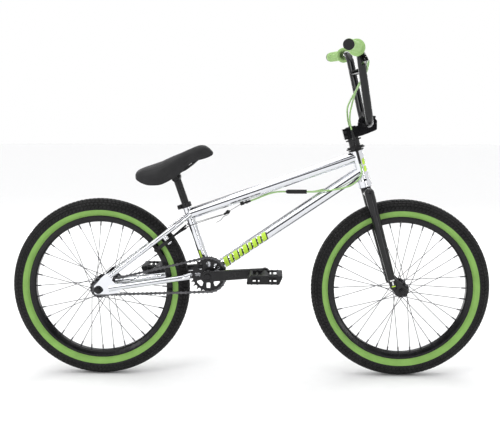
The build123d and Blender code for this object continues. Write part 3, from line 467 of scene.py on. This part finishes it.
rows = saddle_points()
points = [p for row in rows for p in row]
faces = ring_faces(len(rows), ROUND_STEPS, close_rows=False)
for first, row in ((0, rows[0]), ((len(rows) - 1) * ROUND_STEPS, rows[-1])):
    points.append(sum(row, Vector()) / len(row))
    hub = len(points) - 1
    faces += [(first + k, first + (k + 1) % ROUND_STEPS, hub) for k in range(ROUND_STEPS)]
print("saddle loft", len(rows), "sections of", ROUND_STEPS)

# %% Saddle cover material
cover, tree, shader = start_material("saddle_cover")
pebble = node(tree, "ShaderNodeTexVoronoi", {"Vector": spot(tree)}, {"feature": "F1"}, Scale=900.0)
tree.links.new(ramp(tree, noise(tree, 40.0), [(0.3, (0.010, 0.010, 0.011)), (0.7, (0.019, 0.019, 0.020))]),
               shader.inputs["Base Color"])
tree.links.new(between(tree, noise(tree, 80.0), 0.46, 0.62), shader.inputs["Roughness"])
shader.inputs["Specular IOR Level"].default_value = 0.3
relief(tree, shader, pebble.outputs["Distance"], 0.00025, 0.6)
saddle = build("padded_saddle", points, faces, [cover], "seat")
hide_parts("saddle")

# %% [markdown]
# ## Printed marks
# The real frame carries printed graphics. Here plain slanted blocks in leaf yellow
# with a black under-print take their place. A print follows the tube, so each
# block is a thin patch bent round the tube's axis, a hair above the metal.

# %% Marks on the tubes
PRINT_LIFT = 0.00025
CUT_SPACING = 0.0025    # how finely a print is cut before it is bent
print_green = finish("print_leaf_yellow", (0.55, 0.83, 0.06), 0.0, 0.35, (300.0, 0.00002), 0.06)
print_black = finish("print_black", (0.010, 0.010, 0.010), 0.0, 0.35, (300.0, 0.00002), 0.1)
print_white = finish("print_white", (0.75, 0.76, 0.74), 0.0, 0.4, (300.0, 0.00002), 0.05)


def patch(name, start, end, radius, outline, mat, body, lift, side=-1):
    """A flat outline of (along the tube, up round the tube) in metres, bent onto a tube."""
    line = (end - start).normalized()
    out = Vector((0, side, 0))
    up = Vector((0, 0, 1))
    up = (up - line * up.dot(line)).normalized()
    out = (out - line * out.dot(line)).normalized()
    flat = bmesh.new()
    flat.faces.new([flat.verts.new((a, b, 0)) for a, b in outline])
    for axis in (0, 1):
        low = min(v.co[axis] for v in flat.verts)
        high = max(v.co[axis] for v in flat.verts)
        steps = max(2, int((high - low) / CUT_SPACING))
        for k in range(1, steps):
            cut = [0.0, 0.0, 0.0]
            cut[axis] = low + (high - low) * k / steps
            normal = [0.0, 0.0, 0.0]
            normal[axis] = 1.0
            bmesh.ops.bisect_plane(flat, geom=flat.verts[:] + flat.edges[:] + flat.faces[:],
                                   plane_co=cut, plane_no=normal)
    flat.verts.ensure_lookup_table()
    points = []
    for vert in flat.verts:
        a, b = vert.co.x, vert.co.y
        angle = b / radius
        points.append(start + line * a + (out * cos(angle) + up * sin(angle)) * (radius + lift))
    faces = [[v.index for v in face.verts] for face in flat.faces]
    flat.free()
    return build(name, points, faces, [mat], body)


def slanted(a, wide, tall, slant, base=0.0):
    return [(a, base - tall / 2), (a + wide, base - tall / 2),
            (a + wide + slant, base + tall / 2), (a + slant, base + tall / 2)]


DOWN_START = Vector((0.31932 - MIDDLE, 0, 0.305))
DOWN_END = Vector((0.7628 - MIDDLE, 0, 0.6051))
DOWN_R = 0.01745

SHADOW = 0.0028      # the black under-print stands out behind and below each block
BLOCKS = [(0.052, 0.013, 0.031), (0.071, 0.009, 0.025), (0.085, 0.014, 0.028), (0.104, 0.009, 0.023),
          (0.118, 0.014, 0.027), (0.137, 0.009, 0.022), (0.151, 0.013, 0.026), (0.169, 0.010, 0.022),
          (0.184, 0.014, 0.024)]
for side in (-1, 1):
    hand = "right" if side < 0 else "left"
    for i, (a, wide, tall) in enumerate(BLOCKS):
        slant = -0.007 * side
        patch(f"down_tube_edge_{hand}_{i}", DOWN_START, DOWN_END, DOWN_R,
              slanted(a + SHADOW, wide, tall, slant, -SHADOW), print_black, "frame",
              PRINT_LIFT, side)
        patch(f"down_tube_block_{hand}_{i}", DOWN_START, DOWN_END, DOWN_R,
              slanted(a, wide, tall, slant), print_green, "frame",
              2 * PRINT_LIFT, side)
print("marks on the down tube:", 2 * len(BLOCKS))

# %% Marks on the head tube, seat tube and fork
LEAN = radians(15.0)
UP_STEER = Vector((-sin(LEAN), 0, cos(LEAN)))
AHEAD_STEER = Vector((cos(LEAN), 0, sin(LEAN)))
STEER_POINT = Vector((0.754 - MIDDLE, 0, 0.6379))
HEAD_R, SEAT_R = 0.018, 0.0127
head_low, head_high = STEER_POINT - UP_STEER * 0.055, STEER_POINT + UP_STEER * 0.02
seat_low = Vector((0.31932 - MIDDLE, 0, 0.305))
seat_high = seat_low + Vector((-sin(radians(18.8)), 0, cos(radians(18.8)))) * 0.2
for side in (-1, 1):
    hand = "right" if side < 0 else "left"
    for i, (a, wide, tall) in enumerate([(0.018, 0.016, 0.010), (0.039, 0.017, 0.010)]):
        patch(f"head_tube_block_{hand}_{i}", head_low, head_high, HEAD_R,
              slanted(a, wide, tall, 0.003, 0.0125), print_green, "frame",
              PRINT_LIFT, side)
    patch(f"seat_tube_label_{hand}", seat_low, seat_high, SEAT_R,
          slanted(0.048, 0.026, 0.009, 0.0, -0.006), print_black, "frame", PRINT_LIFT, side)
    patch(f"seat_tube_label_bar_{hand}", seat_low, seat_high, SEAT_R,
          slanted(0.050, 0.022, 0.006, 0.0, -0.006), print_green, "frame",
          2 * PRINT_LIFT, side)
    leg_top = STEER_POINT - UP_STEER * 0.310 + AHEAD_STEER * 0.0038 + Vector((0, side * 0.0539, 0))
    leg_low = STEER_POINT - UP_STEER * 0.377 + AHEAD_STEER * 0.0040 + Vector((0, side * 0.0545, 0))
    for i, (a, wide, tall, lean) in enumerate([(0.044, 0.004, 0.013, 0.0), (0.050, 0.010, 0.004, 0.0),
                                               (0.0625, 0.0025, 0.011, 0.0)]):
        patch(f"fork_mark_{hand}_{i}", leg_top, leg_low, 0.0116, slanted(a, wide, tall, lean),
              print_white if i < 2 else print_green, "steering", PRINT_LIFT, side)
print("small marks placed")

# %% [markdown]
# ## Floor and light
# Chrome shows its surroundings, so the surroundings matter as much as the metal.
# The room is white with two dark bands, which draw the long dark lines on the
# tubes. The bands fade out towards both ends of the bike, so the upright head tube
# stays bright, and narrow strip lamps put a streak on the black fork and bar.

# %% Room, floor and lamps
world = bpy.data.worlds.new("studio")
bpy.context.scene.world = world
world.use_nodes = True
tree = world.node_tree
room_light = tree.nodes["Background"]
direction = node(tree, "ShaderNodeTexCoord").outputs["Generated"]
parts = node(tree, "ShaderNodeSeparateXYZ", {"Vector": direction})
level = node(tree, "ShaderNodeMapRange", {"Value": parts.outputs["Z"]},
             **{"From_Min": -1.0, "From_Max": 1.0})
WHITE, SOFT_GREY, DARK = (1.1, 1.1, 1.1), (0.62, 0.63, 0.67), (0.005, 0.005, 0.005)
bands = ramp(tree, level.outputs[0], [
    (0.0, WHITE), (0.462, WHITE), (0.470, DARK), (0.63, DARK), (0.645, WHITE), (0.71, SOFT_GREY),
    (0.76, WHITE), (0.79, DARK), (0.885, DARK), (0.90, WHITE), (0.96, WHITE), (1.0, SOFT_GREY)])
sideways = node(tree, "ShaderNodeMath", {0: parts.outputs["X"]}, {"operation": "ABSOLUTE"})
ends = node(tree, "ShaderNodeMapRange", {"Value": sideways.outputs[0]},
            **{"From_Min": 0.52, "From_Max": 0.62})
whiten = node(tree, "ShaderNodeMixRGB", {"Fac": ends.outputs[0], "Color1": bands},
              Color2=(1.0, 1.0, 1.0, 1.0))
tree.links.new(whiten.outputs[0], room_light.inputs["Color"])
room_light.inputs["Strength"].default_value = 1.0
backdrop = node(tree, "ShaderNodeBackground", Color=(1.0, 1.0, 1.0, 1.0), Strength=1.0)
seen = node(tree, "ShaderNodeLightPath").outputs["Is Camera Ray"]
either = node(tree, "ShaderNodeMixShader", {"Fac": seen})
tree.links.new(room_light.outputs[0], either.inputs[1])
tree.links.new(backdrop.outputs[0], either.inputs[2])
tree.links.new(either.outputs[0], tree.nodes["World Output"].inputs["Surface"])
bpy.context.scene.view_settings.view_transform = "Standard"

floor_mesh = bpy.data.meshes.new("floor")
REACH = 14.0
floor_mesh.from_pydata([(-REACH, -REACH, 0), (REACH, -REACH, 0), (REACH, REACH, 0),
                        (-REACH, REACH, 0)], [], [(0, 1, 2, 3)])
floor = bpy.data.objects.new("floor", floor_mesh)
bpy.context.scene.collection.objects.link(floor)
floor_mesh.materials.append(finish("pale_floor", (0.90, 0.90, 0.90), 0.0, 0.8, (5.0, 0.0001), 0.01,
                                   shine=0.1))


def lamp(name, place, aim, size, power):
    light = bpy.data.lights.new(name, "AREA")
    light.shape = "RECTANGLE"
    light.size, light.size_y = size
    light.energy = power
    obj = bpy.data.objects.new(name, light)
    obj.location = place
    obj.rotation_euler = (Vector(aim) - Vector(place)).to_track_quat("-Z", "Y").to_euler()
    bpy.context.scene.collection.objects.link(obj)


lamp("key_lamp", (-1.6, -2.4, 3.0), (0, 0, 0.4), (2.0, 1.4), 30)
lamp("back_lamp", (0.4, 2.6, 2.6), (0, 0, 0.4), (2.6, 1.2), 25)
for name, across in (("left_strip", -1.5), ("right_strip", 1.7)):
    lamp(name, (across, -3.0, 0.9), (0, 0, 0.5), (0.12, 1.8), 9)
    lamp("far_" + name, (across, 3.0, 0.9), (0, 0, 0.5), (0.12, 1.8), 9)
sky_light = bpy.data.lights.new("overhead_wash", "SUN")
sky_light.energy = 1.0
sky_light.angle = radians(60.0)
sky = bpy.data.objects.new("overhead_wash", sky_light)
bpy.context.scene.collection.objects.link(sky)
print("studio ready")
